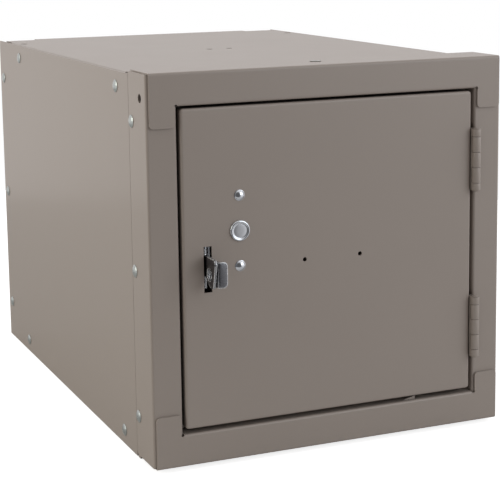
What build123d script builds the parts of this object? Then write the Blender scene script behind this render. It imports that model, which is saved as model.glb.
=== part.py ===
from build123d import *
import os

# A cube locker of folded sheet steel with one hinged door, in millimetres.
# The origin is the middle of the base, +Z is up, the door faces -Y and hangs on the +X side.

# Overall sizes
width = 304.8
depth = 457.2
body_height = 306.4

# Sheet
sheet = 1.6
lap_gap = 0.4
bend_radius = 0.4
overrun = 5.0

# Body panels
panel_flange = 25.0
side_edge_drop = 0.3
side_setback = 22.0
cover_setback = 20.0
front_relief = 62.0
rear_relief = 38.0
rear_flange_inset = 36.0
rear_corner_setback = 12.0

# Door frame
frame_rise = 3.6
flange_depth = 41.5
rail_face = 25.5
stile_face = 24.1
tab_height = 41.5
tab_inset = 1.8
tab_corner_radius = 3.0
corner_notch_radius = 1.4
return_depth = 17.2
stop_lip = 8.0
flange_end_drop = 1.0
flange_corner_radius = 4.0
rest_tab_x = 70.0
rest_tab_width = 11.0
rest_tab_depth = 6.0
rest_tab_height = 2.9
rest_tab_setback = 4.0

# Door
latch_gap = 2.2
hinge_gap = 3.8
top_gap = 2.1
bottom_gap = 3.8
door_depth = 14.0
door_return = 10.0
door_corner_radius = 2.5
plate_hole_spacing = 48.2
plate_hole_radius = 1.7

# Hinges
hinge_height = 52.4
hinge_spacing = 140.0
hinge_leaf_sheet = 1.4
hinge_leaf_depth = 13.0
hinge_axis_inset = 1.0
hinge_axis_reach = 3.6
end_knuckle = 6.6
knuckle_radius = 3.5
knuckle_gap = 0.3
pin_radius = 2.0
pin_clearance = 0.05
pin_head_radius = 2.6
pin_head_height = 0.5
pin_head_gap = 0.1

# Rivets
rivet_inset = 12.3
rivet_row_rise = 116.3
cover_rivet_front = 79.0
cover_rivet_rear = 76.9
stile_rivet_setback = 35.7
back_rivet_spacing = 160.0
rivet_radius = 2.4
rivet_hole_clearance = 0.05
rivet_head_radius = 5.0
rivet_head_height = 1.9
rivet_tail_radius = 3.6
rivet_tail_height = 1.2

# Holes for hooks and for bolting lockers together
hook_hole_spacing = 19.1
hook_hole_radius = 3.0
hook_hole_offset = 6.2
gang_hole_radius = 3.5
gang_hole_inset = 9.2
gang_hole_rear_inset = 62.2
flange_hole_setback = 15.4
flange_hole_drop = 19.7

# Screw that holds the top rail to the top panel
screw_setback = 30.7
screw_head_radius = 4.85
screw_radius = 2.4
screw_length = 12.0
screw_clearance = 0.1
cross_width = 1.1
cross_length = 5.0
cross_depth = 1.2
nut_width = 8.0
nut_height = 4.0

# Lock holes in the door and their plugs
lock_inset = 46.6
lock_rise = 28.0
lock_plug_spacing = 54.9
dial_plug_radius = 8.15
dial_plug_height = 1.8
dial_dish_radius = 6.0
dial_dish_depth = 0.7
dial_stem_radius = 6.5
stud_plug_radius = 4.3
stud_plug_height = 2.3
stud_stem_radius = 3.0
plug_tail_spread = 0.9
plug_tail_height = 1.0
plug_clearance = 0.05

# Latch slot, padlock staple and finger lift
slot_inset = 20.0
slot_width = 6.6
slot_height = 35.9
staple_sheet = 1.9
staple_slot_gap = 1.3
plate_gap = 0.8
staple_reach = 20.7
staple_foot_reach = 15.5
staple_heel_reach = 9.0
staple_rise = 11.05
staple_drop = 12.15
neck_drop = 5.0
nose_radius = 4.0
padlock_hole_radius = 4.75
padlock_hole_reach = 7.8
padlock_hole_drop = 2.25
staple_inner_setback = 2.6
staple_leg_rise = 20.0
staple_leg_drop = 15.0
staple_leg_end_gap = 0.8
tongue_setback = 9.0
tongue_width = 6.5
tongue_height = 8.0
tongue_drop = 1.2
staple_rivet_rise = 15.0
staple_rivet_drop = 10.0
staple_rivet_radius = 1.6
staple_rivet_head_radius = 3.0
staple_rivet_head_height = 1.1
lift_sheet = 1.9
lift_reach = 19.0
lift_rise = 9.15
lift_drop = 10.95
lift_tab_width = 7.9
lift_tab_corner_radius = 3.5
lift_face_gap = 0.6
lift_heel_drop = 9.0
lift_travel = 6.0
hook_gap = 0.6
hook_engagement = 4.4
hook_length = 4.0
hook_ramp = 3.4
hook_rise = 8.0
slide_depth = 6.1
slide_width = 14.9
slide_bottom_rise = 17.75
slide_top_rise = 55.75
guide_low_rise = 30.75
guide_high_rise = 48.75
guide_radius = 2.2
guide_clearance = 0.3
guide_end_gap = 0.1
guide_head_gap = 0.3
guide_head_radius = 4.0
guide_head_height = 1.2

# Door bumpers
bumper_width = 6.0
bumper_height = 12.0
bumper_gap = 0.2
bumper_rise = 95.0
bumper_corner_radius = 1.5

# Places worked out from the sizes above
lap = sheet + lap_gap
outer_bend = sheet + bend_radius
front = -depth / 2
back = depth / 2
side_outer = width / 2 - lap
side_inner = side_outer - sheet
flange_outer = side_inner - lap_gap
body_middle = body_height / 2
frame_bottom = frame_rise
frame_top = body_height + lap
frame_middle = (frame_bottom + frame_top) / 2
opening_half = width / 2 - stile_face
opening_bottom = frame_bottom + rail_face
opening_top = frame_top - rail_face
stop_front = front + return_depth - sheet
stop_back = front + return_depth
lip_middle = opening_half - stop_lip / 2
door_left = -opening_half + latch_gap
door_right = opening_half - hinge_gap
door_bottom = opening_bottom + bottom_gap
door_top = opening_top - top_gap
door_middle_x = (door_left + door_right) / 2
door_middle_z = (door_bottom + door_top) / 2
door_inner = front + sheet
door_back = front + door_depth
hinge_x = opening_half - hinge_axis_inset
hinge_y = front - hinge_axis_reach
hinge_bottoms = {
    "upper": frame_middle + hinge_spacing / 2 - hinge_height / 2,
    "lower": frame_middle - hinge_spacing / 2 - hinge_height / 2,
}
inner_knuckle = (hinge_height - 2 * end_knuckle) / 3
lock_x = door_left + lock_inset
lock_z = door_middle_z + lock_rise
slot_x = door_left + slot_inset
staple_left = slot_x - slot_width / 2 + staple_slot_gap
staple_right = staple_left + staple_sheet
lift_left = staple_right + plate_gap
slide_front = door_inner + lift_face_gap
slide_x = lift_left + slide_width - (slide_width - lift_sheet) / 2

# Rivet places, as pairs on the faces that they join
cover_rivets = [
    (front + cover_rivet_front, rivet_inset),
    (back - cover_rivet_rear, rivet_inset),
]
rivet_hole_radius = rivet_radius + rivet_hole_clearance
rows = [body_middle - rivet_row_rise, body_middle, body_middle + rivet_row_rise]
bottom_side_rivets = cover_rivets
top_side_rivets = [(y, body_height - z) for y, z in cover_rivets]
back_side_rivets = [(back - rivet_inset, z) for z in rows]
side_rivets = bottom_side_rivets + top_side_rivets + back_side_rivets
stile_rivets = [(front + stile_rivet_setback, z) for z in rows]
back_rivets = [
    (x, z)
    for x in (-back_rivet_spacing / 2, back_rivet_spacing / 2)
    for z in (rivet_inset, body_height - rivet_inset)
]
staple_rivets = [
    (-lip_middle, door_middle_z + staple_rivet_rise),
    (-lip_middle, door_middle_z - staple_rivet_drop),
]


def write(piece, name):
    """Label a finished piece and write it to its own file."""
    piece.part.label = name
    export_step(piece.part, f"parts/{name}.step")


def fold(plane, skin, radii, length):
    """Add a folded sheet whose skin runs through the points of plane, with its metal on the left."""
    with BuildSketch(plane) as section:
        with BuildLine():
            FilletPolyline(*skin, radius=radii)
            offset(amount=sheet, side=Side.LEFT)
        make_face()
    extrude(section.sketch, amount=length)


def drill(plane, places, radius):
    """Cut a round hole at each place of plane through the sheet that lies there."""
    with BuildSketch(plane) as holes:
        with Locations(*places):
            Circle(radius)
    extrude(holes.sketch, amount=overrun, both=True, mode=Mode.SUBTRACT)


def block(low, high, mode=Mode.ADD):
    """Add or cut the box between two corners."""
    middle = tuple((a + b) / 2 for a, b in zip(low, high))
    size = [b - a for a, b in zip(low, high)]
    with Locations(middle):
        Box(*size, mode=mode)


def domed_rivet(shank, grip, head, head_height, tail, tail_height):
    """Make a rivet along Z, its domed head seated on z = 0 and its tail at the far end of the grip."""
    dome_radius = (head**2 + head_height**2) / (2 * head_height)
    with BuildPart() as rivet:
        with BuildSketch(Plane.XZ):
            with BuildLine():
                Polyline(
                    (0, head_height),
                    (0, -grip - tail_height),
                    (tail, -grip - tail_height),
                    (tail, -grip),
                    (shank, -grip),
                    (shank, 0),
                    (head, 0),
                )
                RadiusArc((head, 0), (0, head_height), -dome_radius)
            make_face()
        revolve(axis=Axis.Z)
    return rivet.part


def spread(piece, planes):
    """Place a copy of a piece on each plane as one group of separate solids."""
    with BuildPart() as group:
        with Locations(*planes):
            add(piece)
    return group


# Side panels: flat sheets between the frame and the back
for side, sign in (("left", -1), ("right", 1)):
    with BuildPart() as side_panel:
        block(
            (min(sign * side_inner, sign * side_outer), front + side_setback, side_edge_drop),
            (max(sign * side_inner, sign * side_outer), back, body_height - side_edge_drop),
        )
        drill(Plane.YZ.offset(sign * side_outer), side_rivets + stile_rivets, rivet_hole_radius)
    write(side_panel, f"{side}_side_panel")


def cover(holes):
    """Make the top panel: flat, with side flanges inside the side panels and a flange over the back."""
    flat_half = flange_outer - outer_bend
    with BuildPart() as panel:
        block(
            (-flat_half, front + cover_setback, body_height - sheet),
            (flat_half, back - rear_corner_setback, body_height),
        )
        fold(
            Plane.XZ.offset(-(back - rear_relief)),
            [
                (flange_outer, body_height - panel_flange),
                (flange_outer, body_height),
                (-flange_outer, body_height),
                (-flange_outer, body_height - panel_flange),
            ],
            outer_bend,
            depth - front_relief - rear_relief,
        )
        fold(
            Plane.YZ.offset(-side_outer + rear_flange_inset),
            [
                (back, body_height - panel_flange),
                (back, body_height),
                (back - outer_bend - rear_relief, body_height),
            ],
            outer_bend,
            2 * (side_outer - rear_flange_inset),
        )
        drill(Plane.YZ.offset(-flange_outer), top_side_rivets, rivet_hole_radius)
        drill(Plane.YZ.offset(flange_outer), top_side_rivets, rivet_hole_radius)
        top_back_rivets = [place for place in back_rivets if place[1] > body_middle]
        drill(Plane.XZ.offset(-back), top_back_rivets, rivet_hole_radius)
        if holes:
            top = Plane.XY.offset(body_height)
            hook_x = hook_hole_spacing / 2
            gang_x = side_outer - gang_hole_inset
            hook_places = [(x, hook_hole_offset) for x in (-hook_x, hook_x)]
            gang_places = [(x, back - gang_hole_rear_inset) for x in (-gang_x, gang_x)]
            drill(top, hook_places, hook_hole_radius)
            drill(top, gang_places, gang_hole_radius)
            drill(top, [(0, front + screw_setback)], screw_head_radius - sheet - lap_gap + screw_clearance)
        else:
            mirror(about=Plane.XY.offset(body_middle), mode=Mode.REPLACE)
    return panel


write(cover(True), "top_panel")
write(cover(False), "bottom_panel")

# Back panel: a pan whose side flanges run forward inside the side panels
back_outer = back - lap
with BuildPart() as back_panel:
    fold(
        Plane.XY.offset(lap),
        [
            (flange_outer, back_outer - panel_flange),
            (flange_outer, back_outer),
            (-flange_outer, back_outer),
            (-flange_outer, back_outer - panel_flange),
        ],
        outer_bend,
        body_height - 2 * lap,
    )
    drill(Plane.YZ.offset(-flange_outer), back_side_rivets, rivet_hole_radius)
    drill(Plane.YZ.offset(flange_outer), back_side_rivets, rivet_hole_radius)
    drill(Plane.XZ.offset(-back_outer), back_rivets, rivet_hole_radius)
write(back_panel, "back_panel")


# Stiles: a side flange over the body, the face, the return and the lip that stops the door
for side in ("left", "right"):
    with BuildPart() as stile:
        fold(
            Plane.XY.offset(frame_bottom + flange_end_drop),
            [
                (-width / 2, front + flange_depth),
                (-width / 2, front + lap),
                (-opening_half, front + lap),
                (-opening_half, stop_front),
                (-opening_half + stop_lip, stop_front),
            ],
            [outer_bend, outer_bend, bend_radius],
            frame_top - frame_bottom - 2 * flange_end_drop,
        )
        for low, high in ((frame_bottom, frame_bottom + lap), (frame_top - lap, frame_top)):
            block(
                (-width / 2 + sheet, front, low),
                (-opening_half + stop_lip + overrun, stop_back + overrun, high),
                Mode.SUBTRACT,
            )
        for low, high in (
            (frame_bottom, opening_bottom + lap_gap),
            (opening_top - lap_gap, frame_top),
        ):
            block(
                (-opening_half, front, low),
                (-opening_half + stop_lip + overrun, stop_back + overrun, high),
                Mode.SUBTRACT,
            )
        rear_corners = stile.edges().filter_by(Axis.X).group_by(Axis.Y)[-1]
        fillet(rear_corners, flange_corner_radius)
        drill(Plane.YZ.offset(-width / 2), stile_rivets, rivet_hole_radius)
        drill(
            Plane.YZ.offset(-width / 2),
            [(front + flange_hole_setback, frame_top - flange_hole_drop)],
            gang_hole_radius,
        )
        if side == "left":
            drill(Plane.XZ.offset(-stop_front), staple_rivets, staple_rivet_radius + rivet_hole_clearance)
        else:
            mirror(about=Plane.YZ, mode=Mode.REPLACE)
    write(stile, f"{side}_stile")


# Rails: a flange over the body, the face, and a return that opens out into a tab over each stile
def rail(is_top):
    """Make one rail in the place of the top one, and turn it over if it is the bottom one."""
    tab_inner = opening_half + tab_inset
    return_half = opening_half - lap_gap
    with BuildPart() as channel:
        fold(
            Plane.YZ.offset(-return_half),
            [
                (front + flange_depth, frame_top),
                (front, frame_top),
                (front, opening_top),
                (front + return_depth, opening_top),
            ],
            outer_bend,
            2 * return_half,
        )
        for start in (-side_outer, return_half):
            fold(
                Plane.YZ.offset(start),
                [
                    (front + flange_depth, frame_top),
                    (front, frame_top),
                    (front, opening_top),
                ],
                outer_bend,
                side_outer - return_half,
            )
        for sign in (-1, 1):
            with BuildSketch(Plane.XZ.offset(-front)) as tab:
                with Locations((sign * (side_outer + tab_inner) / 2, frame_top - tab_height)):
                    Rectangle(
                        side_outer - tab_inner,
                        tab_height - outer_bend,
                        align=(Align.CENTER, Align.MIN),
                    )
                fillet(tab.vertices().group_by(Axis.Y)[0], tab_corner_radius)
            extrude(amount=-sheet)
            drill(
                Plane.XZ.offset(-front),
                [(sign * (opening_half + tab_inner) / 2, opening_top)],
                corner_notch_radius,
            )
        if is_top:
            with Locations((0, front + screw_setback, frame_top)):
                CounterSinkHole(
                    screw_radius + screw_clearance,
                    screw_head_radius + screw_clearance,
                    depth=overrun,
                    counter_sink_angle=90,
                )
        else:
            mirror(about=Plane.XY.offset(frame_middle), mode=Mode.REPLACE)
            for low, high in ((-side_outer, -flange_outer), (flange_outer, side_outer)):
                block(
                    (low, front + side_setback - lap_gap, frame_bottom),
                    (high, front + flange_depth, frame_bottom + sheet),
                    Mode.SUBTRACT,
                )
            rest_tab_left = rest_tab_x - rest_tab_width / 2
            rest_tab_right = rest_tab_x + rest_tab_width / 2
            with BuildSketch(Plane.XZ.offset(-(front + rest_tab_setback))) as ramp:
                with BuildLine():
                    Polyline(
                        (rest_tab_left, opening_bottom),
                        (rest_tab_right, opening_bottom + rest_tab_height),
                        (rest_tab_right, opening_bottom - sheet),
                        (rest_tab_left, opening_bottom - sheet),
                        close=True,
                    )
                make_face()
            extrude(ramp.sketch, amount=-rest_tab_depth)
    return channel


write(rail(True), "top_rail")
write(rail(False), "bottom_rail")

# Door: a pan with channelled upright edges, the latch slot and the lock and plate holes
with BuildPart() as door_panel:
    with BuildSketch(Plane.XZ.offset(-front)):
        with Locations((door_middle_x, door_middle_z)):
            RectangleRounded(door_right - door_left, door_top - door_bottom, door_corner_radius)
    extrude(amount=-door_depth)
    fillet(door_panel.faces().sort_by(Axis.Y)[0].edges(), outer_bend)
    offset(amount=-sheet, openings=door_panel.faces().sort_by(Axis.Y)[-1])
    for start in (door_left + sheet / 2, door_right - door_return):
        block(
            (start, door_back - sheet, door_bottom + sheet / 2),
            (start + door_return - sheet / 2, door_back, door_top - sheet / 2),
        )
    with BuildSketch(Plane.XZ.offset(-front)):
        with Locations((slot_x, door_middle_z)):
            Rectangle(slot_width, slot_height)
    extrude(amount=overrun, both=True, mode=Mode.SUBTRACT)
    face = Plane.XZ.offset(-front)
    plate_places = [(door_middle_x + share * plate_hole_spacing, door_middle_z) for share in (-1 / 2, 1 / 2)]
    stud_places = [(lock_x, lock_z + share * lock_plug_spacing) for share in (-1 / 2, 1 / 2)]
    drill(face, plate_places, plate_hole_radius)
    drill(face, stud_places, stud_stem_radius + plug_clearance)
    drill(face, [(lock_x, lock_z)], dial_stem_radius + plug_clearance)
write(door_panel, "door_panel")


# Hinges: five knuckles in turn on the door leaf and the frame leaf, round one pin
def knuckle_rows(bottom):
    """Give the lower and upper end of each knuckle of the hinge that starts at bottom."""
    ends = [bottom, bottom + end_knuckle]
    for _ in range(3):
        ends.append(ends[-1] + inner_knuckle)
    ends.append(bottom + hinge_height)
    return list(zip(ends[:-1], ends[1:]))


def hinge_leaf(bottom, plate_left, own_rows):
    """Make the leaf whose plate starts at plate_left and which carries the knuckles of own_rows."""
    with BuildPart() as leaf:
        block(
            (plate_left, hinge_y, bottom),
            (plate_left + hinge_leaf_sheet, front + hinge_leaf_depth, bottom + hinge_height),
        )
        for row, (low, high) in enumerate(knuckle_rows(bottom)):
            if row in own_rows:
                continue
            with Locations((hinge_x, hinge_y, (low + high) / 2)):
                Cylinder(knuckle_radius + knuckle_gap, high - low, mode=Mode.SUBTRACT)
        for row, (low, high) in enumerate(knuckle_rows(bottom)):
            if row not in own_rows:
                continue
            with Locations((hinge_x, hinge_y, (low + high) / 2)):
                Cylinder(knuckle_radius, high - low - knuckle_gap)
        with Locations((hinge_x, hinge_y, bottom + hinge_height / 2)):
            Cylinder(pin_radius + pin_clearance, hinge_height + overrun, mode=Mode.SUBTRACT)
    return leaf


for name, bottom in hinge_bottoms.items():
    write(hinge_leaf(bottom, door_right, (0, 2, 4)), f"{name}_hinge_door_leaf")
    write(hinge_leaf(bottom, opening_half - hinge_leaf_sheet, (1, 3)), f"{name}_hinge_frame_leaf")
    with BuildPart() as pin:
        with Locations((hinge_x, hinge_y, bottom + hinge_height / 2)):
            Cylinder(pin_radius, hinge_height)
        for end in (bottom - pin_head_gap - pin_head_height, bottom + hinge_height + pin_head_gap):
            with Locations((hinge_x, hinge_y, end + pin_head_height / 2)):
                Cylinder(pin_head_radius, pin_head_height + 2 * pin_head_gap)
        ends = pin.faces().filter_by(Axis.Z).sort_by(Axis.Z)
        chamfer(ends[0].edges() + ends[-1].edges(), pin_head_height / 2)
    write(pin, f"{name}_hinge_pin")

# Padlock staple: a plate out through the slot, a leg on the stop lip and the tongue for the hook
with BuildPart() as staple:
    with BuildSketch(Plane.YZ.offset(staple_left)) as nose:
        with BuildLine():
            Polyline(
                (front + staple_inner_setback, door_middle_z + staple_rise),
                (front - staple_reach, door_middle_z + staple_rise),
                (front - staple_foot_reach, door_middle_z - staple_drop),
                (front - staple_heel_reach, door_middle_z - staple_drop),
                (front, door_middle_z - neck_drop),
                (front + staple_inner_setback, door_middle_z - neck_drop),
                close=True,
            )
        make_face()
        fillet(nose.vertices().group_by(Axis.X)[0], nose_radius)
        fillet(nose.vertices().group_by(Axis.Y)[0], nose_radius / 2)
    extrude(amount=staple_sheet)
    block(
        (staple_left, front + staple_inner_setback, door_middle_z - staple_leg_drop),
        (staple_right, stop_back + staple_sheet, door_middle_z + staple_leg_rise),
    )
    block(
        (-opening_half + staple_leg_end_gap, stop_back, door_middle_z - staple_leg_drop),
        (staple_right, stop_back + staple_sheet, door_middle_z + staple_leg_rise),
    )
    heel = staple.edges().filter_by(Axis.Z).filter_by_position(Axis.X, staple_right, staple_right)
    fillet(heel.sort_by(Axis.Y)[-1], staple_sheet)
    block(
        (
            staple_left,
            front + tongue_setback,
            door_middle_z - tongue_drop - tongue_height,
        ),
        (
            staple_right + tongue_width,
            front + tongue_setback + staple_sheet,
            door_middle_z - tongue_drop,
        ),
    )
    drill(
        Plane.YZ.offset(staple_left),
        [(front - padlock_hole_reach, door_middle_z - padlock_hole_drop)],
        padlock_hole_radius,
    )
    drill(Plane.XZ.offset(-stop_back), staple_rivets, staple_rivet_radius + rivet_hole_clearance)
write(staple, "padlock_staple")

# Finger lift: the plate beside the staple, its finger tab, the hook behind the tongue and the slide
tongue_top = door_middle_z - tongue_drop
tongue_back = front + tongue_setback + staple_sheet
hook_front = tongue_back + hook_gap
hook_back = hook_front + hook_length
slide_back = slide_front + slide_depth
with BuildPart() as lift:
    with BuildSketch(Plane.YZ.offset(lift_left)):
        with BuildLine():
            Polyline(
                (front - lift_reach, door_middle_z + lift_rise),
                (front - lift_reach, door_middle_z - lift_drop),
                (front - staple_heel_reach, door_middle_z - lift_drop),
                (front, door_middle_z - neck_drop),
                (slide_front, door_middle_z - neck_drop),
                (slide_front, door_middle_z - lift_heel_drop),
                (front + tongue_setback - hook_gap, door_middle_z - lift_heel_drop),
                (front + tongue_setback - hook_gap, tongue_top + hook_gap),
                (hook_front, tongue_top + hook_gap),
                (hook_front, tongue_top - hook_engagement),
                (hook_back, tongue_top - hook_engagement + hook_ramp),
                (hook_back, tongue_top + hook_rise),
                (slide_back, door_middle_z + slide_bottom_rise),
                (slide_back, door_middle_z + slide_top_rise),
                (slide_front, door_middle_z + slide_top_rise),
                (slide_front, door_middle_z + lift_rise),
                close=True,
            )
        make_face()
    extrude(amount=lift_sheet)
    with BuildSketch(Plane.XZ.offset(-(front - lift_reach))) as tab:
        with Locations((lift_left, door_middle_z - lift_drop)):
            Rectangle(lift_tab_width, lift_rise + lift_drop, align=(Align.MIN, Align.MIN))
        fillet(tab.vertices().group_by(Axis.X)[-1], lift_tab_corner_radius)
    extrude(amount=-lift_sheet)
    block(
        (lift_left, slide_front, door_middle_z + slide_bottom_rise),
        (lift_left + slide_width, slide_front + lift_sheet, door_middle_z + slide_top_rise),
    )
    front_fold = lift.edges().filter_by(Axis.Z).group_by(Axis.Y)[0].sort_by(Axis.X)[0]
    fillet(front_fold, lift_sheet)
    slot_top = guide_radius + guide_end_gap
    slot_bottom = -guide_radius - guide_end_gap - lift_travel
    for rise in (guide_low_rise, guide_high_rise):
        with BuildSketch(Plane.XZ.offset(-slide_front)):
            with Locations((slide_x, door_middle_z + rise + (slot_top + slot_bottom) / 2)):
                SlotOverall(
                    slot_top - slot_bottom, 2 * (guide_radius + guide_clearance), rotation=90
                )
        extrude(amount=overrun, both=True, mode=Mode.SUBTRACT)
    drill(
        Plane.YZ.offset(lift_left),
        [(front - padlock_hole_reach, door_middle_z - padlock_hole_drop)],
        padlock_hole_radius,
    )
write(lift, "latch_lift")

# Guide studs welded to the inside of the door, on which the lift slides
with BuildPart() as guide_studs:
    head_front = slide_front + lift_sheet + guide_head_gap
    for rise in (guide_low_rise, guide_high_rise):
        with BuildSketch(Plane.XZ.offset(-door_inner)):
            with Locations((slide_x, door_middle_z + rise)):
                Circle(guide_radius)
        extrude(amount=-(head_front - door_inner))
        with BuildSketch(Plane.XZ.offset(-head_front)):
            with Locations((slide_x, door_middle_z + rise)):
                Circle(guide_head_radius)
        extrude(amount=-guide_head_height)
write(guide_studs, "lift_guide_studs")

# Rubber bumpers on the stop lip
with BuildPart() as bumpers:
    with BuildSketch(Plane.XZ.offset(-stop_front)):
        with Locations(*[(-lip_middle, door_middle_z + sign * bumper_rise) for sign in (-1, 1)]):
            RectangleRounded(bumper_width, bumper_height, bumper_corner_radius)
    extrude(amount=stop_front - door_back - bumper_gap)
write(bumpers, "door_bumpers")

# Plugs in the lock holes
with BuildPart() as dial_plug:
    with BuildSketch(Plane.XZ):
        with BuildLine():
            rim = (dial_plug_radius - dial_dish_radius) / 2
            Polyline(
                (0, dial_plug_height - dial_dish_depth),
                (0, -sheet - plug_tail_height),
                (dial_stem_radius + plug_tail_spread, -sheet - plug_tail_height),
                (dial_stem_radius + plug_tail_spread, -sheet),
                (dial_stem_radius, -sheet),
                (dial_stem_radius, 0),
                (dial_plug_radius, 0),
                (dial_plug_radius, dial_plug_height - rim),
            )
            RadiusArc(
                (dial_plug_radius, dial_plug_height - rim),
                (dial_plug_radius - rim, dial_plug_height),
                -rim,
            )
            Polyline(
                (dial_plug_radius - rim, dial_plug_height),
                (dial_dish_radius, dial_plug_height - dial_dish_depth),
                (0, dial_plug_height - dial_dish_depth),
            )
        make_face()
    revolve(axis=Axis.Z)
dial_plug_at = spread(dial_plug.part, [Plane((lock_x, front, lock_z), x_dir=(1, 0, 0), z_dir=(0, -1, 0))])
write(dial_plug_at, "dial_hole_plug")

stud_plug = domed_rivet(
    stud_stem_radius,
    sheet,
    stud_plug_radius,
    stud_plug_height,
    stud_stem_radius + plug_tail_spread,
    plug_tail_height,
)
stud_planes = [Plane((x, front, z), x_dir=(1, 0, 0), z_dir=(0, -1, 0)) for x, z in stud_places]
write(spread(stud_plug, stud_planes), "lock_hole_plugs")

# Rivets of the body, the stiles, the back and the staple
body_rivet = domed_rivet(
    rivet_radius, sheet + lap, rivet_head_radius, rivet_head_height, rivet_tail_radius, rivet_tail_height
)
for side, sign in (("left", -1), ("right", 1)):
    side_planes = [Plane((sign * side_outer, y, z), z_dir=(sign, 0, 0)) for y, z in side_rivets]
    write(spread(body_rivet, side_planes), f"{side}_side_rivets")
    stile_planes = [Plane((sign * width / 2, y, z), z_dir=(sign, 0, 0)) for y, z in stile_rivets]
    write(spread(body_rivet, stile_planes), f"{side}_stile_rivets")
back_planes = [Plane((x, back, z), z_dir=(0, 1, 0)) for x, z in back_rivets]
write(spread(body_rivet, back_planes), "back_rivets")
staple_rivet = domed_rivet(
    staple_rivet_radius,
    sheet + staple_sheet,
    staple_rivet_head_radius,
    staple_rivet_head_height,
    staple_rivet_head_radius,
    staple_rivet_head_height,
)
staple_planes = [Plane((x, stop_front, z), z_dir=(0, -1, 0)) for x, z in staple_rivets]
write(spread(staple_rivet, staple_planes), "staple_rivets")

# Countersunk screw through the top rail and the top panel, and its nut
screw_y = front + screw_setback
with BuildPart() as screw:
    with BuildSketch(Plane.XZ.offset(-screw_y)):
        with BuildLine():
            Polyline(
                (0, frame_top),
                (screw_head_radius, frame_top),
                (screw_radius, frame_top - screw_head_radius + screw_radius),
                (screw_radius, frame_top - screw_length),
                (0, frame_top - screw_length),
                close=True,
            )
        make_face()
    revolve(axis=Axis((0, screw_y, 0), (0, 0, 1)))
    with BuildSketch(Plane.XY.offset(frame_top)):
        with Locations((0, screw_y)):
            Rectangle(cross_length, cross_width)
            Rectangle(cross_width, cross_length)
    extrude(amount=-cross_depth, mode=Mode.SUBTRACT)
write(screw, "rail_screw")

with BuildPart() as nut:
    with BuildSketch(Plane.XY.offset(body_height - sheet)):
        with Locations((0, screw_y)):
            RegularPolygon(nut_width / 2, 6, major_radius=False)
            Circle(screw_radius + screw_clearance, mode=Mode.SUBTRACT)
    extrude(amount=-nut_height)
write(nut, "rail_screw_nut")
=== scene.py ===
"""Finishes, fine pieces, studio and camera of a cube locker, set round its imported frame."""

import logging
import math
from dataclasses import dataclass
from enum import Enum
from typing import Any, Sequence

import bmesh
import bpy
from mathutils import Matrix, Vector


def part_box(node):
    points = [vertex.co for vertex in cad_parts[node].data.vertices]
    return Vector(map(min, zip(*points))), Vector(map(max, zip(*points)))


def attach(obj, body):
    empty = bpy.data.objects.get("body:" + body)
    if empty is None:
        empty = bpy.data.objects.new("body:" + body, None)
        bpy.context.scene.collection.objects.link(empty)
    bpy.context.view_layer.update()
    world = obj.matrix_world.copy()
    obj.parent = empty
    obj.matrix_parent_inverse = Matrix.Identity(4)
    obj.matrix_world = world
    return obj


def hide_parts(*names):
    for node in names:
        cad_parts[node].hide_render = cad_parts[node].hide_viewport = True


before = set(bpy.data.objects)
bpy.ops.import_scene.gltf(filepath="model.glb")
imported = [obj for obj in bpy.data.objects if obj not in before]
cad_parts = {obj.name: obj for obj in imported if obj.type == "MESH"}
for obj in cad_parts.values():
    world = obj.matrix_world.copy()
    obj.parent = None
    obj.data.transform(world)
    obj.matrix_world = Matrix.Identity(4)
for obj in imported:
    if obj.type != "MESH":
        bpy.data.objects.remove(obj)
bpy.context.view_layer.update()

log = logging.getLogger("locker")

Point = tuple[float, float, float]
Flat = tuple[float, float]
Colour = tuple[float, float, float]
Wire = bpy.types.NodeSocket
MM = 0.001
WELD = 0.001 * MM
# The photograph shows the body's top a little lower than it is packed.
SHOWN_HEIGHT = 304.8 * MM
BODY_SHARE = SHOWN_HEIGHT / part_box("top_panel")[1][2]


class Finish(Enum):
    """The material slots of the record."""

    PAINT = "paint"
    ZINC = "zinc"
    BRIGHT = "bright_plug"
    RUBBER = "rubber"


class Body(Enum):
    """The bodies that pieces ride on."""

    CABINET = "cabinet"
    DOOR = "door"
    LIFT = "lift"


class Socket(Enum):
    """The kinds of socket that the shared shader groups have."""

    NUMBER = "NodeSocketFloat"
    COLOUR = "NodeSocketColor"
    VECTOR = "NodeSocketVector"


def linear(red: int, green: int, blue: int) -> Colour:
    """Turn a colour in screen values into the linear one that a shader reads.

    Args:
        red: Red from 0 to 255.
        green: Green from 0 to 255.
        blue: Blue from 0 to 255.

    Returns:
        The three linear values, each from 0 to 1.
    """
    shares = (value / 255 for value in (red, green, blue))
    return tuple(s / 12.92 if s <= 0.04045 else ((s + 0.055) / 1.055) ** 2.4 for s in shares)


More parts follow.
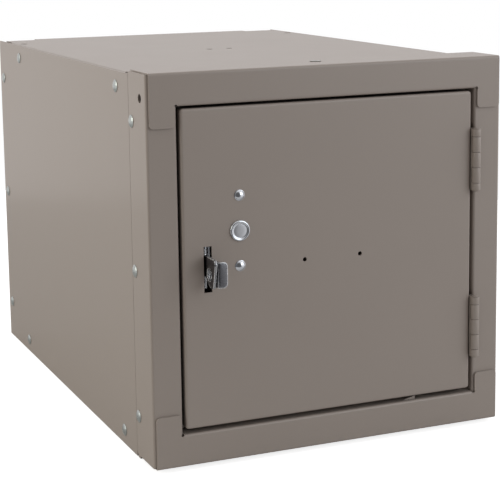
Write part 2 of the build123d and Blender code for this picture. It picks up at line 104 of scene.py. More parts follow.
class NodeBoard:
    """A node tree with short calls that add its nodes and join them."""

    def __init__(self, tree: bpy.types.NodeTree) -> None:
        """Keep the tree that the calls work on."""
        self.tree = tree

    def fill(self, node: bpy.types.Node, name: str | int, value: Any) -> None:
        """Give one input of a node its value or its link.

        Args:
            node: The node.
            name: The input's name or number.
            value: The value, or the output socket to link.
        """
        if isinstance(value, Wire):
            self.tree.links.new(value, node.inputs[name])
        else:
            node.inputs[name].default_value = value

    def feed(self, node: bpy.types.Node, **inputs: Any) -> None:
        """Give several inputs of a node, named with _ for a space, their values or links."""
        for label, value in inputs.items():
            self.fill(node, label.replace("_", " "), value)

    def add(self, kind: str, inputs: dict[Any, Any] | None = None, **settings: Any) -> bpy.types.Node:
        """Add a node, set its options and fill or link its inputs.

        Args:
            kind: The node's type name.
            inputs: Input names or numbers, each with a value or an output socket.
            **settings: Attributes of the node.

        Returns:
            The new node.
        """
        node = self.tree.nodes.new(kind)
        for name, value in settings.items():
            setattr(node, name, value)
        for name, value in (inputs or {}).items():
            self.fill(node, name, value)
        return node

    def here(self) -> Wire:
        """Give the place on the piece's own surface, in metres."""
        return self.add("ShaderNodeTexCoord").outputs["Object"]

    def math(self, operation: str, first: Any, second: Any, clamp: bool = False) -> Wire:
        """Add one sum.

        Args:
            operation: The Math node's operation.
            first: Its first value or output socket.
            second: Its second value or output socket.
            clamp: Whether the result stays between 0 and 1.

        Returns:
            The result's socket.
        """
        node = self.add("ShaderNodeMath", {0: first, 1: second}, operation=operation, use_clamp=clamp)
        return node.outputs[0]

    def ramp(self, value: Wire, low: float, high: float, to_low: float = 0.0, to_high: float = 1.0) -> Wire:
        """Map a value smoothly from one range onto another.

        Args:
            value: The value's output socket.
            low: Where the range starts.
            high: Where it ends.
            to_low: The result at the start.
            to_high: The result at the end.

        Returns:
            The result's socket.
        """
        inputs = {"Value": value, "From Min": low, "From Max": high, "To Min": to_low, "To Max": to_high}
        return self.add("ShaderNodeMapRange", inputs, interpolation_type="SMOOTHSTEP").outputs["Result"]

    def noise(self, place: Wire, scale: Any, detail: float = 2.0, roughness: float = 0.5) -> Wire:
        """Add a noise pattern.

        Args:
            place: The coordinates' output socket.
            scale: Patches per metre.
            detail: How many finer layers it has.
            roughness: How strong these are.

        Returns:
            The pattern's value, from 0 to 1.
        """
        inputs = {"Vector": place, "Scale": scale, "Detail": detail, "Roughness": roughness}
        return self.add("ShaderNodeTexNoise", inputs).outputs["Fac"]

    def mix(self, share: Wire, first: Any, second: Any) -> Wire:
        """Mix two colours, through the sockets that a Mix node has for them.

        Args:
            share: How much of the second shows.
            first: The first colour or its socket.
            second: The second colour or its socket.

        Returns:
            The mixed colour's socket.
        """
        whole = [colour if isinstance(colour, Wire) else (*colour, 1.0) for colour in (first, second)]
        node = self.add("ShaderNodeMix", {0: share, 6: whole[0], 7: whole[1]}, data_type="RGBA")
        return node.outputs[2]

    def mix_numbers(self, share: Wire, first: Any, second: Any) -> Wire:
        """Mix two numbers, through the sockets that a Mix node has for them.

        Args:
            share: How much of the second counts.
            first: The first number or its socket.
            second: The second number or its socket.

        Returns:
            The mixed number's socket.
        """
        return self.add("ShaderNodeMix", {0: share, 2: first, 3: second}, data_type="FLOAT").outputs[0]

    def relief(self, height: Wire, strength: float, depth: float, fold: float = 0.0) -> Wire:
        """Turn a pattern of heights into the way that the surface faces.

        Args:
            height: The pattern's output socket.
            strength: How much of it shows, from 0 to 1.
            depth: How deep it is, in metres.
            fold: The radius of the edges in metres, or 0 where they stay sharp.

        Returns:
            The normal's socket.
        """
        inputs = {"Height": height, "Strength": strength, "Distance": depth}
        if fold:
            inputs["Normal"] = self.add("ShaderNodeBevel", {"Radius": fold}, samples=6).outputs[0]
        return self.add("ShaderNodeBump", inputs).outputs[0]


class ShaderGroup:
    """A node group that several finishes share, with named inputs and outputs."""

    def __init__(self, name: str, inputs: dict[str, tuple[Socket, Any]], outputs: dict[str, Socket]) -> None:
        """Make the group's tree and its sockets.

        Args:
            name: The group's name.
            inputs: Each input's kind and default value.
            outputs: Each output's kind.
        """
        self.tree = bpy.data.node_groups.new(name, "ShaderNodeTree")
        for label, (kind, default) in inputs.items():
            socket = self.tree.interface.new_socket(label, in_out="INPUT", socket_type=kind.value)
            socket.default_value = default
        for label, kind in outputs.items():
            self.tree.interface.new_socket(label, in_out="OUTPUT", socket_type=kind.value)
        self.board = NodeBoard(self.tree)
        self.inside = self.board.add("NodeGroupInput").outputs
        self.out = self.board.add("NodeGroupOutput").inputs

    def give(self, **results: Wire) -> None:
        """Join each result to the group's output of that name, with _ for a space."""
        for label, socket in results.items():
            self.tree.links.new(socket, self.out[label.replace("_", " ")])

    def place(self, board: NodeBoard, **inputs: Any) -> bpy.types.Node:
        """Put the group into a material.

        Args:
            board: The material's board.
            **inputs: The group's inputs by name, with _ for a space.

        Returns:
            The group's node there.
        """
        named = {label.replace("_", " "): value for label, value in inputs.items()}
        return board.add("ShaderNodeGroup", named, node_tree=self.tree)


class SharedEffects:
    """The node groups for effects that more than one finish has."""

    def __init__(self) -> None:
        """Build every group once."""
        self.tone = self._tone()
        self.peel = self._peel()
        self.wear = self._wear()
        self.dust = self._dust()
        self.rolling = self._rolling()
        self.grime = self._grime()

    @staticmethod
    def _tone() -> ShaderGroup:
        """Make the group that lets a colour drift a little over a surface.

        Returns:
            The group.
        """
        group = ShaderGroup(
            "tone drift",
            {
                "Color": (Socket.COLOUR, (0.5, 0.5, 0.5, 1.0)),
                "Spread": (Socket.NUMBER, 0.05),
                "Broad Scale": (Socket.NUMBER, 9.0),
                "Fine Scale": (Socket.NUMBER, 900.0),
            },
            {"Color": Socket.COLOUR, "Value": Socket.NUMBER},
        )
        board, ins = group.board, group.inside
        place = board.here()
        broad = board.noise(place, ins["Broad Scale"])
        fine = board.noise(place, ins["Fine Scale"], detail=1.0)
        both = board.math("ADD", board.math("MULTIPLY", broad, 0.7), board.math("MULTIPLY", fine, 0.3))
        drift = board.math("MULTIPLY", board.math("SUBTRACT", both, 0.5), ins["Spread"])
        bright = board.math("ADD", drift, 1.0)
        tone = board.add("ShaderNodeVectorMath", {0: ins["Color"], "Scale": bright}, operation="SCALE")
        group.give(Color=tone.outputs[0], Value=both)
        return group

    @staticmethod
    def _peel() -> ShaderGroup:
        """Make the group for the fine orange peel and the slow waves of a sprayed, baked coat.

        Returns:
            The group.
        """
        group = ShaderGroup(
            "orange peel",
            {
                "Peel Scale": (Socket.NUMBER, 700.0),
                "Peel Height": (Socket.NUMBER, 1.0),
                "Wave Scale": (Socket.NUMBER, 14.0),
                "Wave Height": (Socket.NUMBER, 1.0),
            },
            {"Height": Socket.NUMBER},
        )
        board, ins = group.board, group.inside
        place = board.here()
        fine = board.noise(place, ins["Peel Scale"], roughness=0.6)
        slow = board.noise(place, ins["Wave Scale"], detail=0.0)
        peel = board.math("MULTIPLY", fine, ins["Peel Height"])
        wave = board.math("MULTIPLY", slow, ins["Wave Height"])
        group.give(Height=board.math("ADD", peel, wave))
        return group

    @staticmethod
    def _wear() -> ShaderGroup:
        """Make the group that finds outer edges, for painted edge highlights and for the dulled edges of a
        plate.

        Returns:
            The group.
        """
        group = ShaderGroup(
            "edge wear",
            {
                "Width": (Socket.NUMBER, 0.0006),
                "Break Scale": (Socket.NUMBER, 260.0),
                "Strength": (Socket.NUMBER, 1.0),
            },
            {"Mask": Socket.NUMBER},
        )
        board, ins = group.board, group.inside
        shape = board.add("ShaderNodeNewGeometry")
        rounded = board.add("ShaderNodeBevel", {"Radius": ins["Width"]}, samples=4)
        same = board.add(
            "ShaderNodeVectorMath",
            {0: shape.outputs["True Normal"], 1: rounded.outputs[0]},
            operation="DOT_PRODUCT",
        )
        edge = board.ramp(same.outputs["Value"], low=0.995, high=0.86)
        breaks = board.ramp(board.noise(board.here(), ins["Break Scale"], detail=3.0), low=0.35, high=0.65)
        mask = board.math("MULTIPLY", board.math("MULTIPLY", edge, breaks), ins["Strength"], clamp=True)
        group.give(Mask=mask)
        return group

    @staticmethod
    def _dust() -> ShaderGroup:
        """Make the group for the thin dust that settles on faces turned up.

        Returns:
            The group.
        """
        group = ShaderGroup(
            "settled dust",
            {"Amount": (Socket.NUMBER, 0.1), "Patch Scale": (Socket.NUMBER, 22.0)},
            {"Mask": Socket.NUMBER},
        )
        board, ins = group.board, group.inside
        normal = board.add("ShaderNodeNewGeometry").outputs["Normal"]
        upward = board.ramp(board.add("ShaderNodeSeparateXYZ", {0: normal}).outputs["Z"], low=0.3, high=1.0)
        cloud = board.noise(board.here(), ins["Patch Scale"], detail=5.0, roughness=0.65)
        patch = board.ramp(cloud, low=0.3, high=0.75, to_low=0.3)
        mask = board.math("MULTIPLY", board.math("MULTIPLY", upward, patch), ins["Amount"], clamp=True)
        group.give(Mask=mask)
        return group

    @staticmethod
    def _rolling() -> ShaderGroup:
        """Make the group for the fine lines that rolling and plating leave in bare metal.

        Returns:
            The group.
        """
        group = ShaderGroup(
            "rolling lines",
            {"Stretch": (Socket.VECTOR, (1.0, 1.0, 14.0)), "Scale": (Socket.NUMBER, 320.0)},
            {"Value": Socket.NUMBER},
        )
        board, ins = group.board, group.inside
        factors = {0: board.here(), 1: ins["Stretch"]}
        drawn = board.add("ShaderNodeVectorMath", factors, operation="MULTIPLY")
        group.give(Value=board.noise(drawn.outputs[0], ins["Scale"], detail=4.0, roughness=0.6))
        return group

    @staticmethod
    def _grime() -> ShaderGroup:
        """Make the group that finds narrow gaps and deep corners, where shade is painted.

        Returns:
            The group.
        """
        group = ShaderGroup(
            "gap grime",
            {"Reach": (Socket.NUMBER, 0.006), "Strength": (Socket.NUMBER, 1.0)},
            {"Mask": Socket.NUMBER},
        )
        board, ins = group.board, group.inside
        shaded = board.add("ShaderNodeAmbientOcclusion", {"Distance": ins["Reach"]}, samples=8)
        deep = board.ramp(shaded.outputs["AO"], low=0.5, high=0.12)
        mask = board.math("MULTIPLY", deep, ins["Strength"], clamp=True)
        group.give(Mask=mask)
        return group


def start_material(name: str) -> tuple[bpy.types.Material, NodeBoard, bpy.types.Node]:
    """Make a material that holds only its shader and its output.

    Args:
        name: The material's name.

    Returns:
        The material, the board of its tree and its Principled BSDF.
    """
    material = bpy.data.materials.new(name)
    material.use_nodes = True
    board = NodeBoard(material.node_tree)
    shader = next(n for n in material.node_tree.nodes if n.type == "BSDF_PRINCIPLED")
    return material, board, shader


@dataclass(frozen=True)
class BakedEnamel:
    """The satin warm grey enamel on the folded sheets, the hinge leaves and the pins."""

    name: str = "baked enamel"
    colour: Colour = linear(162, 151, 142)
    # Paler colour painted along the edges as a highlight.
    highlight_edge_colour: Colour = linear(176, 165, 157)
    dust_colour: Colour = linear(190, 184, 178)
    # Near-black colour painted into narrow gaps and deep corners as shade.
    painted_shade_colour: Colour = linear(34, 31, 28)
    roughness: float = 0.42
    roughness_drift: float = 0.08
    dust_roughness: float = 0.6
    spread: float = 0.07
    edge_width: float = 0.0009
    edge_strength: float = 0.15
    dust: float = 0.12
    grime: float = 0.75
    painted_shade_reach: float = 0.0055
    peel_height: float = 0.35
    wave_height: float = 6.0
    peel_depth: float = 0.00003
    fold_radius: float = 0.0004
    refraction: float = 1.45
    coat: float = 0.3
    coat_roughness: float = 0.16

    def material(self, effects: SharedEffects) -> bpy.types.Material:
        """Build the coat's material.

        Args:
            effects: The shared node groups.

        Returns:
            The material.
        """
        material, board, shader = start_material(self.name)
        tone = effects.tone.place(board, Color=(*self.colour, 1.0), Spread=self.spread)
        edge = effects.wear.place(board, Width=self.edge_width, Strength=self.edge_strength)
        dust = effects.dust.place(board, Amount=self.dust)
        grime = effects.grime.place(board, Reach=self.painted_shade_reach, Strength=self.grime)
        peel = effects.peel.place(board, Peel_Height=self.peel_height, Wave_Height=self.wave_height)
        # Highlight painted along the edges.
        edge_highlighted = board.mix(edge.outputs["Mask"], tone.outputs["Color"], self.highlight_edge_colour)
        dusty = board.mix(dust.outputs["Mask"], edge_highlighted, self.dust_colour)
        # Shade painted into narrow gaps and deep corners.
        with_painted_shade = board.mix(grime.outputs["Mask"], dusty, self.painted_shade_colour)
        drift = board.math("MULTIPLY", tone.outputs["Value"], self.roughness_drift)
        matt = board.math("MULTIPLY", dust.outputs["Mask"], self.dust_roughness)
        rough = board.math("ADD", board.math("ADD", drift, matt), self.roughness)
        normal = board.relief(peel.outputs["Height"], 1.0, self.peel_depth, self.fold_radius)
        board.feed(shader, Base_Color=with_painted_shade, Roughness=rough, Normal=normal, Coat_Normal=normal)
        board.feed(shader, IOR=self.refraction, Coat_Weight=self.coat, Coat_Roughness=self.coat_roughness)
        return material


@dataclass(frozen=True)
class RubbedEnamel(BakedEnamel):
    """The enamel on the rail screw's head, which is paler where the driver and passing hands rub it."""

    name: str = "rubbed enamel"
    colour: Colour = linear(190, 191, 187)
    dust: float = 0.0
    # Stronger shade painted into the cross recess and round the head.
    grime: float = 0.8
    painted_shade_reach: float = 0.005


@dataclass(frozen=True)
class BrightZinc:
    """The zinc plate on the rivets, the guide studs and the nut."""

    name: str = "bright zinc"
    colour: Colour = linear(178, 184, 182)
    dull_colour: Colour = linear(120, 124, 124)
    # Near-black colour painted into narrow gaps and deep corners as shade.
    painted_shade_colour: Colour = linear(30, 29, 27)
    # Pale colour painted on the edges as a highlight, standing also for rubbed plate.
    rubbed_highlight_colour: Colour = linear(222, 224, 221)
    roughness: float = 0.22
    roughness_drift: float = 0.16
    spread: float = 0.18
    patches: float = 160.0
    lines: float = 240.0
    line_strength: float = 0.25
    line_depth: float = 0.00003
    dull: float = 0.55
    rub: float = 0.0004
    rub_and_highlight_strength: float = 0.9
    rubbed_highlight_metallic: float = 0.3
    grime: float = 0.97
    painted_shade_reach: float = 0.007
    fold_radius: float = 0.0002

    def material(self, effects: SharedEffects) -> bpy.types.Material:
        """Build the plate's material.

        Args:
            effects: The shared node groups.

        Returns:
            The material.
        """
        material, board, shader = start_material(self.name)
        line = effects.rolling.place(board, Scale=self.lines).outputs["Value"]
        tone = effects.tone.place(
            board, Color=(*self.colour, 1.0), Spread=self.spread, Broad_Scale=self.patches
        )
        edge = effects.wear.place(board, Width=self.rub, Strength=self.rub_and_highlight_strength).outputs["Mask"]
        grime = effects.grime.place(board, Reach=self.painted_shade_reach, Strength=self.grime)
        dull = board.ramp(line, low=0.45, high=0.75, to_high=self.dull)
        plate = board.mix(dull, tone.outputs["Color"], self.dull_colour)
        # Shade painted into narrow gaps and deep corners.
        with_painted_shade = board.mix(grime.outputs["Mask"], plate, self.painted_shade_colour)
        # Edges painted pale and less metallic as a highlight, standing also for rubbed plate.
        rubbed = board.mix(edge, with_painted_shade, self.rubbed_highlight_colour)
        rough = board.ramp(line, 0.3, 0.7, self.roughness, self.roughness + self.roughness_drift)
        metal = board.ramp(edge, 0.0, 1.0, to_low=1.0, to_high=self.rubbed_highlight_metallic)
        normal = board.relief(line, self.line_strength, self.line_depth, self.fold_radius)
        board.feed(shader, Base_Color=rubbed, Roughness=rough, Metallic=metal, Normal=normal)
        return material


@dataclass(frozen=True)
class ShadedLatchZinc(BrightZinc):
    """A darker, purplish copy of the zinc plate for the staple and the lift: partly their own tint, partly
    shade painted for their front faces. Their edges get a stronger painted highlight, standing also for the
    rubbing of hands and padlocks.
    """

    name: str = "latch zinc with painted shade"
    # Darker colours: the plate's own tint, with shade painted in for the front faces.
    colour: Colour = linear(124, 126, 131)
    dull_colour: Colour = linear(78, 77, 84)
    # Paler painted highlight on the edges, wider and stronger than on the other zinc.
    rubbed_highlight_colour: Colour = linear(244, 245, 245)
    roughness: float = 0.17
    rub: float = 0.0013
    rub_and_highlight_strength: float = 4.0
    # Shade painted further in, into the slot behind the staple and the lift.
    painted_shade_reach: float = 0.012
    fold_radius: float = 0.0009


@dataclass(frozen=True)
class BrightNickel:
    """The polished plate on the plugs of the lock holes."""

    name: str = "bright nickel"
    colour: Colour = linear(214, 219, 225)
    dull_colour: Colour = linear(172, 180, 188)
    roughness: float = 0.12
    roughness_drift: float = 0.06
    spread: float = 0.06
    patches: float = 220.0
    edge_width: float = 0.0002
    edge_strength: float = 0.4

    def material(self, effects: SharedEffects) -> bpy.types.Material:
        """Build the plate's material.

        Args:
            effects: The shared node groups.

        Returns:
            The material.
        """
        material, board, shader = start_material(self.name)
        tone = effects.tone.place(
            board, Color=(*self.colour, 1.0), Spread=self.spread, Broad_Scale=self.patches
        )
        edge = effects.wear.place(board, Width=self.edge_width, Strength=self.edge_strength)
        plate = board.mix(edge.outputs["Mask"], tone.outputs["Color"], self.dull_colour)
        drift = tone.outputs["Value"]
        rough = board.ramp(drift, 0.35, 0.65, self.roughness, self.roughness + self.roughness_drift)
        board.feed(shader, Base_Color=plate, Roughness=rough, Metallic=1.0)
        return material


@dataclass(frozen=True)
class BlackRubber:
    """The matt rubber of the door bumpers."""

    name: str = "black rubber"
    colour: Colour = linear(34, 33, 32)
    dust_colour: Colour = linear(92, 90, 86)
    roughness: Flat = (0.62, 0.8)
    spread: float = 0.3
    specks: float = 2400.0
    dust: float = 0.3
    dust_patches: float = 300.0
    grain: float = 2600.0
    grain_strength: float = 0.5
    grain_depth: float = 0.00005

    def material(self, effects: SharedEffects) -> bpy.types.Material:
        """Build the rubber's material.

        Args:
            effects: The shared node groups.

        Returns:
            The material.
        """
        material, board, shader = start_material(self.name)
        tone = effects.tone.place(
            board, Color=(*self.colour, 1.0), Spread=self.spread, Fine_Scale=self.specks
        )
        dust = effects.dust.place(board, Amount=self.dust, Patch_Scale=self.dust_patches)
        peel = effects.peel.place(board, Peel_Scale=self.grain, Wave_Height=0.0)
        dusty = board.mix(dust.outputs["Mask"], tone.outputs["Color"], self.dust_colour)
        rough = board.ramp(tone.outputs["Value"], 0.2, 0.8, *self.roughness)
        normal = board.relief(peel.outputs["Height"], self.grain_strength, self.grain_depth)
        board.feed(shader, Base_Color=dusty, Roughness=rough, Normal=normal)
        return material


class Finishes:
    """The material of each slot, and of the pieces that have one of their own."""

    def __init__(self, effects: SharedEffects) -> None:
        """Build every material once.

        Args:
            effects: The shared node groups.
        """
        self.by_slot = {
            Finish.PAINT: BakedEnamel().material(effects),
            Finish.ZINC: BrightZinc().material(effects),
            Finish.BRIGHT: BrightNickel().material(effects),
            Finish.RUBBER: BlackRubber().material(effects),
        }
        latch_zinc = ShadedLatchZinc().material(effects)
        self.by_piece = {
            "padlock_staple_plate": latch_zinc,
            "finger_lift_plate": latch_zinc,
            "rail_cross_screw": RubbedEnamel().material(effects),
        }

    def dress(self, piece: bpy.types.Object, finish: Finish) -> None:
        """Give a piece its material.

        Args:
            piece: The mesh to dress.
            finish: The slot whose material it gets.
        """
        piece.data.materials.clear()
        piece.data.materials.append(self.by_piece.get(piece.name, self.by_slot[finish]))


@dataclass
class PackedNodes:
    """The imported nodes, with their finishes in place of the plain materials."""

    finishes: Finishes

    def dress(self) -> None:
        """Swap the plain material in every slot of every node for its finish."""
        for name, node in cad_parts.items():
            for slot in node.material_slots:
                plain = slot.material.name.split(".")[0]
                slot.material = self.finishes.by_slot[Finish(plain)]
            log.info("%s dressed", name)


class Facing(Enum):
    """The way that the shown end of a turned piece points."""

    LEFT = (-1.0, 0.0, 0.0)
    RIGHT = (1.0, 0.0, 0.0)
    FRONT = (0.0, -1.0, 0.0)
    REAR = (0.0, 1.0, 0.0)

    @property
    def row(self) -> int:
        """Give the number of the axis that it lies along."""
        return next(row for row, share in enumerate(self.value) if share)

    @property
    def sign(self) -> float:
        """Give 1 along that axis and -1 against it."""
        return self.value[self.row]


class Side(Enum):
    """The locker's sides, as someone in front of it sees them."""

    LEFT = "left"
    RIGHT = "right"


def span(node: str) -> tuple[Vector, Vector]:
    """Measure a CAD node.

    Args:
        node: The node's name.

    Returns:
        Its lowest and highest corner, in millimetres.
    """
    low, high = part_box(node)
    return low / MM, high / MM


def arc(start: Flat, end: Flat, bulge: float, steps: int) -> list[Flat]:
    """Walk along a round curve between two points of a profile.

    Args:
        start: The first point.
        end: The last point.
        bulge: How far the curve's middle lies to the left of the straight line, in millimetres.
        steps: How many runs it is divided into.

    Returns:
        The points, both ends among them.
    """
    first, last = Vector(start), Vector(end)
    chord = last - first
    half = chord.length / 2
    radius = (half * half + bulge * bulge) / (2 * abs(bulge))
    side = Vector((-chord.y, chord.x)).normalized() * (1 if bulge > 0 else -1)
    centre = (first + last) / 2 - side * (radius - abs(bulge))
    reach = math.atan2(half, radius - abs(bulge))
    points = []
    for step in range(steps + 1):
        turn = reach * (2 * step / steps - 1)
        spot = centre + side * radius * math.cos(turn) + chord.normalized() * radius * math.sin(turn)
        points.append((spot.x, spot.y))
    return points


def solids(node: str) -> list[tuple[Vector, Vector]]:
    """Find the box of each separate solid of a CAD node.

    Args:
        node: The node's name.

    Returns:
        The lowest and highest corner of each, in metres and in the order of the lowest ones.
    """
    shape = bmesh.new()
    shape.from_mesh(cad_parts[node].data)
    bmesh.ops.remove_doubles(shape, verts=shape.verts, dist=WELD)
    left = set(shape.verts)
    boxes = []
    while left:
        ahead = [left.pop()]
        found = list(ahead)
        while ahead:
            here = ahead.pop()
            fresh = {edge.other_vert(here) for edge in here.link_edges} & left
            left -= fresh
            ahead += fresh
            found += fresh
        lows = [min(vert.co[row] for vert in found) for row in range(3)]
        highs = [max(vert.co[row] for vert in found) for row in range(3)]
        boxes.append((Vector(lows), Vector(highs)))
    shape.free()
    return sorted(boxes, key=lambda box: tuple(box[0]))


def cap(radius: float, base: float, top: float, steps: int) -> list[Flat]:
    """Walk up a round dome from its rim to its top.

    Args:
        radius: The rim's radius, in millimetres.
        base: The rim's height.
        top: The height of the top.
        steps: How many runs it is divided into.

    Returns:
        The points, with the last one on the axis.
    """
    rise = top - base
    sphere = (radius**2 + rise**2) / (2 * rise)
    half = math.hypot(radius, rise) / 2
    dome = arc((radius, base), (0.0, top), -(sphere - math.sqrt(sphere**2 - half**2)), steps)
    return dome[:-1] + [(0.0, top)]


@dataclass
class Workshop:
    """Turns meshes into dressed pieces that ride on a body and stand for CAD nodes."""

    finishes: Finishes
    smooth_angle: float = 38.0

    def fit(
        self, shape: bmesh.types.BMesh, name: str, nodes: Sequence[str], body: Body, finish: Finish
    ) -> None:
        """Make the object, dress it and fit it in the place of its nodes.

        Args:
            shape: The mesh, which is used up.
            name: The piece's name.
            nodes: The CAD nodes that it stands for.
            body: The body that it rides on.
            finish: Its slot.
        """
        bmesh.ops.recalc_face_normals(shape, faces=shape.faces)
        for face in shape.faces:
            face.smooth = True
        mesh = bpy.data.meshes.new(name)
        shape.to_mesh(mesh)
        shape.free()
        mesh.set_sharp_from_angle(angle=math.radians(self.smooth_angle))
        self.fit_mesh(mesh, name, nodes, body, finish)

    def fit_mesh(
        self, mesh: bpy.types.Mesh, name: str, nodes: Sequence[str], body: Body, finish: Finish
    ) -> None:
        """Make the object of a finished mesh, dress it and fit it in the place of its nodes.

        Args:
            mesh: The mesh, with its shading set.
            name: The piece's name.
            nodes: The CAD nodes that it stands for.
            body: The body that it rides on.
            finish: Its slot.
        """
        piece = bpy.data.objects.new(name, mesh)
        bpy.context.scene.collection.objects.link(piece)
        self.finishes.dress(piece, finish)
        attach(piece, body.value)
        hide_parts(*nodes)
        log.info("%s: %d faces on %s", name, len(mesh.polygons), body.value)


@dataclass
class TurnedSet:
    """Round pieces of one profile, in millimetres, one at each solid of a CAD node."""

    workshop: Workshop
    node: str
    name: str
    facing: Facing
    body: Body
    finish: Finish
    share: float = 1.0
    height: float = 1.9
    segments: int = 56
    dome_steps: int = 14

    def profile(self) -> list[Flat]:
        """Give the closed profile as radius and height above the sheet, in millimetres."""
        raise NotImplementedError

    def build(self) -> None:
        """Turn the profile round each place and fit the set."""
        shape = bmesh.new()
        for low, high in solids(self.node):
            seat = (low + high) / 2
            seat.z *= self.share
            row, sign = self.facing.row, self.facing.sign
            seat[row] = (high if sign > 0 else low)[row] - sign * self.height * MM
            turn = Vector(self.facing.value).to_track_quat("Z", "Y").to_matrix().to_4x4()
            self._turn(shape, Matrix.Translation(seat) @ turn)
        self.workshop.fit(shape, self.name, [self.node], self.body, self.finish)

    def _turn(self, shape: bmesh.types.BMesh, place: Matrix) -> None:
        """Add one turned piece to the mesh.

        Args:
            shape: The mesh.
            place: Where the piece stands, with its axis along Z.
        """
        rings = []
        for radius, height in self.profile():
            if radius == 0:
                rings.append([shape.verts.new(place @ Vector((0, 0, height * MM)))])
                continue
            ring = []
            for step in range(self.segments):
                turn = math.tau * step / self.segments
                spot = Vector((radius * math.cos(turn), radius * math.sin(turn), height)) * MM
                ring.append(shape.verts.new(place @ spot))
            rings.append(ring)
        for first, second in zip(rings, rings[1:]):
            for step in range(self.segments):
                after = (step + 1) % self.segments
                corners = [first[step % len(first)], first[after % len(first)]]
                corners += [second[after % len(second)], second[step % len(second)]]
                shape.faces.new(list(dict.fromkeys(corners)))


@dataclass
class DomedRivets(TurnedSet):
    """Rivets with a domed head, a rim under it and a set tail."""

    head: float = 5.0
    rim: float = 0.35
    rim_inset: float = 0.12
    rim_rise: float = 0.1
    shank: float = 2.4
    grip: float = 3.6
    tail: float = 3.6
    tail_height: float = 1.2
    tail_dish: float = 0.25
    tail_dish_inset: float = 1.6
    tail_inset: float = 0.5
    tail_rise: float = 0.45

    def profile(self) -> list[Flat]:
        """Give the rivet's profile, from its tail to the top of its dome.

        Returns:
            The points.
        """
        end = -self.grip - self.tail_height
        under = [(0.0, end + self.tail_dish), (self.tail - self.tail_dish_inset, end)]
        under += [(self.tail - self.tail_inset, end), (self.tail, end + self.tail_rise)]
        under += [(self.tail, -self.grip), (self.shank, -self.grip), (self.shank, 0.0)]
        skirt = [(self.head - self.rim_inset, 0.0), (self.head, self.rim_rise)]
        return under + skirt + cap(self.head, self.rim, self.height, self.dome_steps)


@dataclass
class StapleRivets(DomedRivets):
    """The smaller, flatter rivets that hold the staple."""

    height: float = 1.1
    segments: int = 40
    head: float = 3.0
    rim: float = 0.25
    shank: float = 1.6
    grip: float = 3.5
    tail: float = 3.0
    tail_height: float = 1.1


@dataclass
class HolePlug(TurnedSet):
    """What the plugs of the lock holes share: a stem that snaps in behind the sheet."""

    sheet: float = 1.6
    stem: float = 3.0
    tail: float = 3.9
    tail_height: float = 1.0
    tail_inset: float = 0.5
    tail_rise: float = 0.4
    hollow_inset: float = 0.6

    def stub(self) -> list[Flat]:
        """Give the profile behind the door's face.

        Returns:
            The points.
        """
        end = -self.sheet - self.tail_height
        inside = [(0.0, end), (self.stem - self.hollow_inset, end), (self.tail - self.tail_inset, end)]
        return inside + [
            (self.tail, end + self.tail_rise),
            (self.tail, -self.sheet),
            (self.stem, -self.sheet),
            (self.stem, 0.0),
        ]


@dataclass
class StudPlugs(HolePlug):
    """Deep round caps with a thin flange, snapped into the two small lock holes."""

    height: float = 2.3
    head: float = 4.3
    flange: float = 0.4
    flange_ease: float = 0.1
    step: float = 0.05
    ledge: float = 0.3

    def profile(self) -> list[Flat]:
        """Give the cap's profile.

        Returns:
            The points.
        """
        flange = [(self.head - self.flange_ease, 0.0), (self.head, self.flange_ease)]
        flange += [(self.head, self.flange - self.flange_ease), (self.head - self.flange_ease, self.flange)]
        dome = cap(self.head - self.ledge, self.flange + self.step, self.height, self.dome_steps)
        return self.stub() + flange + dome


@dataclass
class DialPlug(HolePlug):
    """A wide plug with a rolled rim and a shallow dish, in the hole of a dial lock."""

    height: float = 1.8
    segments: int = 72
    stem: float = 6.5
    tail: float = 7.4
    hollow_inset: float = 1.0
    rim: float = 8.15
    rim_ease: float = 0.12
    roll: float = 1.0
    roll_bulge: float = 0.42
    dish: float = 5.9
    dish_ledge: float = 0.3
    dish_depth: float = 0.55
    floor_depth: float = 0.72
    floor_rise: float = 0.2
    middle: float = 1.0
    middle_depth: float = 0.5
    slope_bulge: float = 0.14
    floor_bulge: float = 0.06
    roll_steps: int = 10
    dish_steps: int = 6

    def profile(self) -> list[Flat]:
        """Give the plug's profile.

        Returns:
            The points.
        """
        crest = (self.rim - self.roll, self.height)
        ledge = (self.dish + self.dish_ledge, self.height - self.dish_depth)
        floor_edge = (self.dish, self.height - self.floor_depth)
        floor_middle = (self.middle, self.height - self.floor_depth + self.floor_rise)
        outer = arc((self.rim, self.rim_ease), crest, -self.roll_bulge, self.roll_steps)
        inner = arc(crest, ledge, -self.slope_bulge, self.dish_steps)
        floor = arc(floor_edge, floor_middle, -self.floor_bulge, self.dish_steps)
        front = outer + inner[1:] + floor + [(0.0, self.height - self.middle_depth)]
        return self.stub() + [(self.rim - self.rim_ease, 0.0)] + front


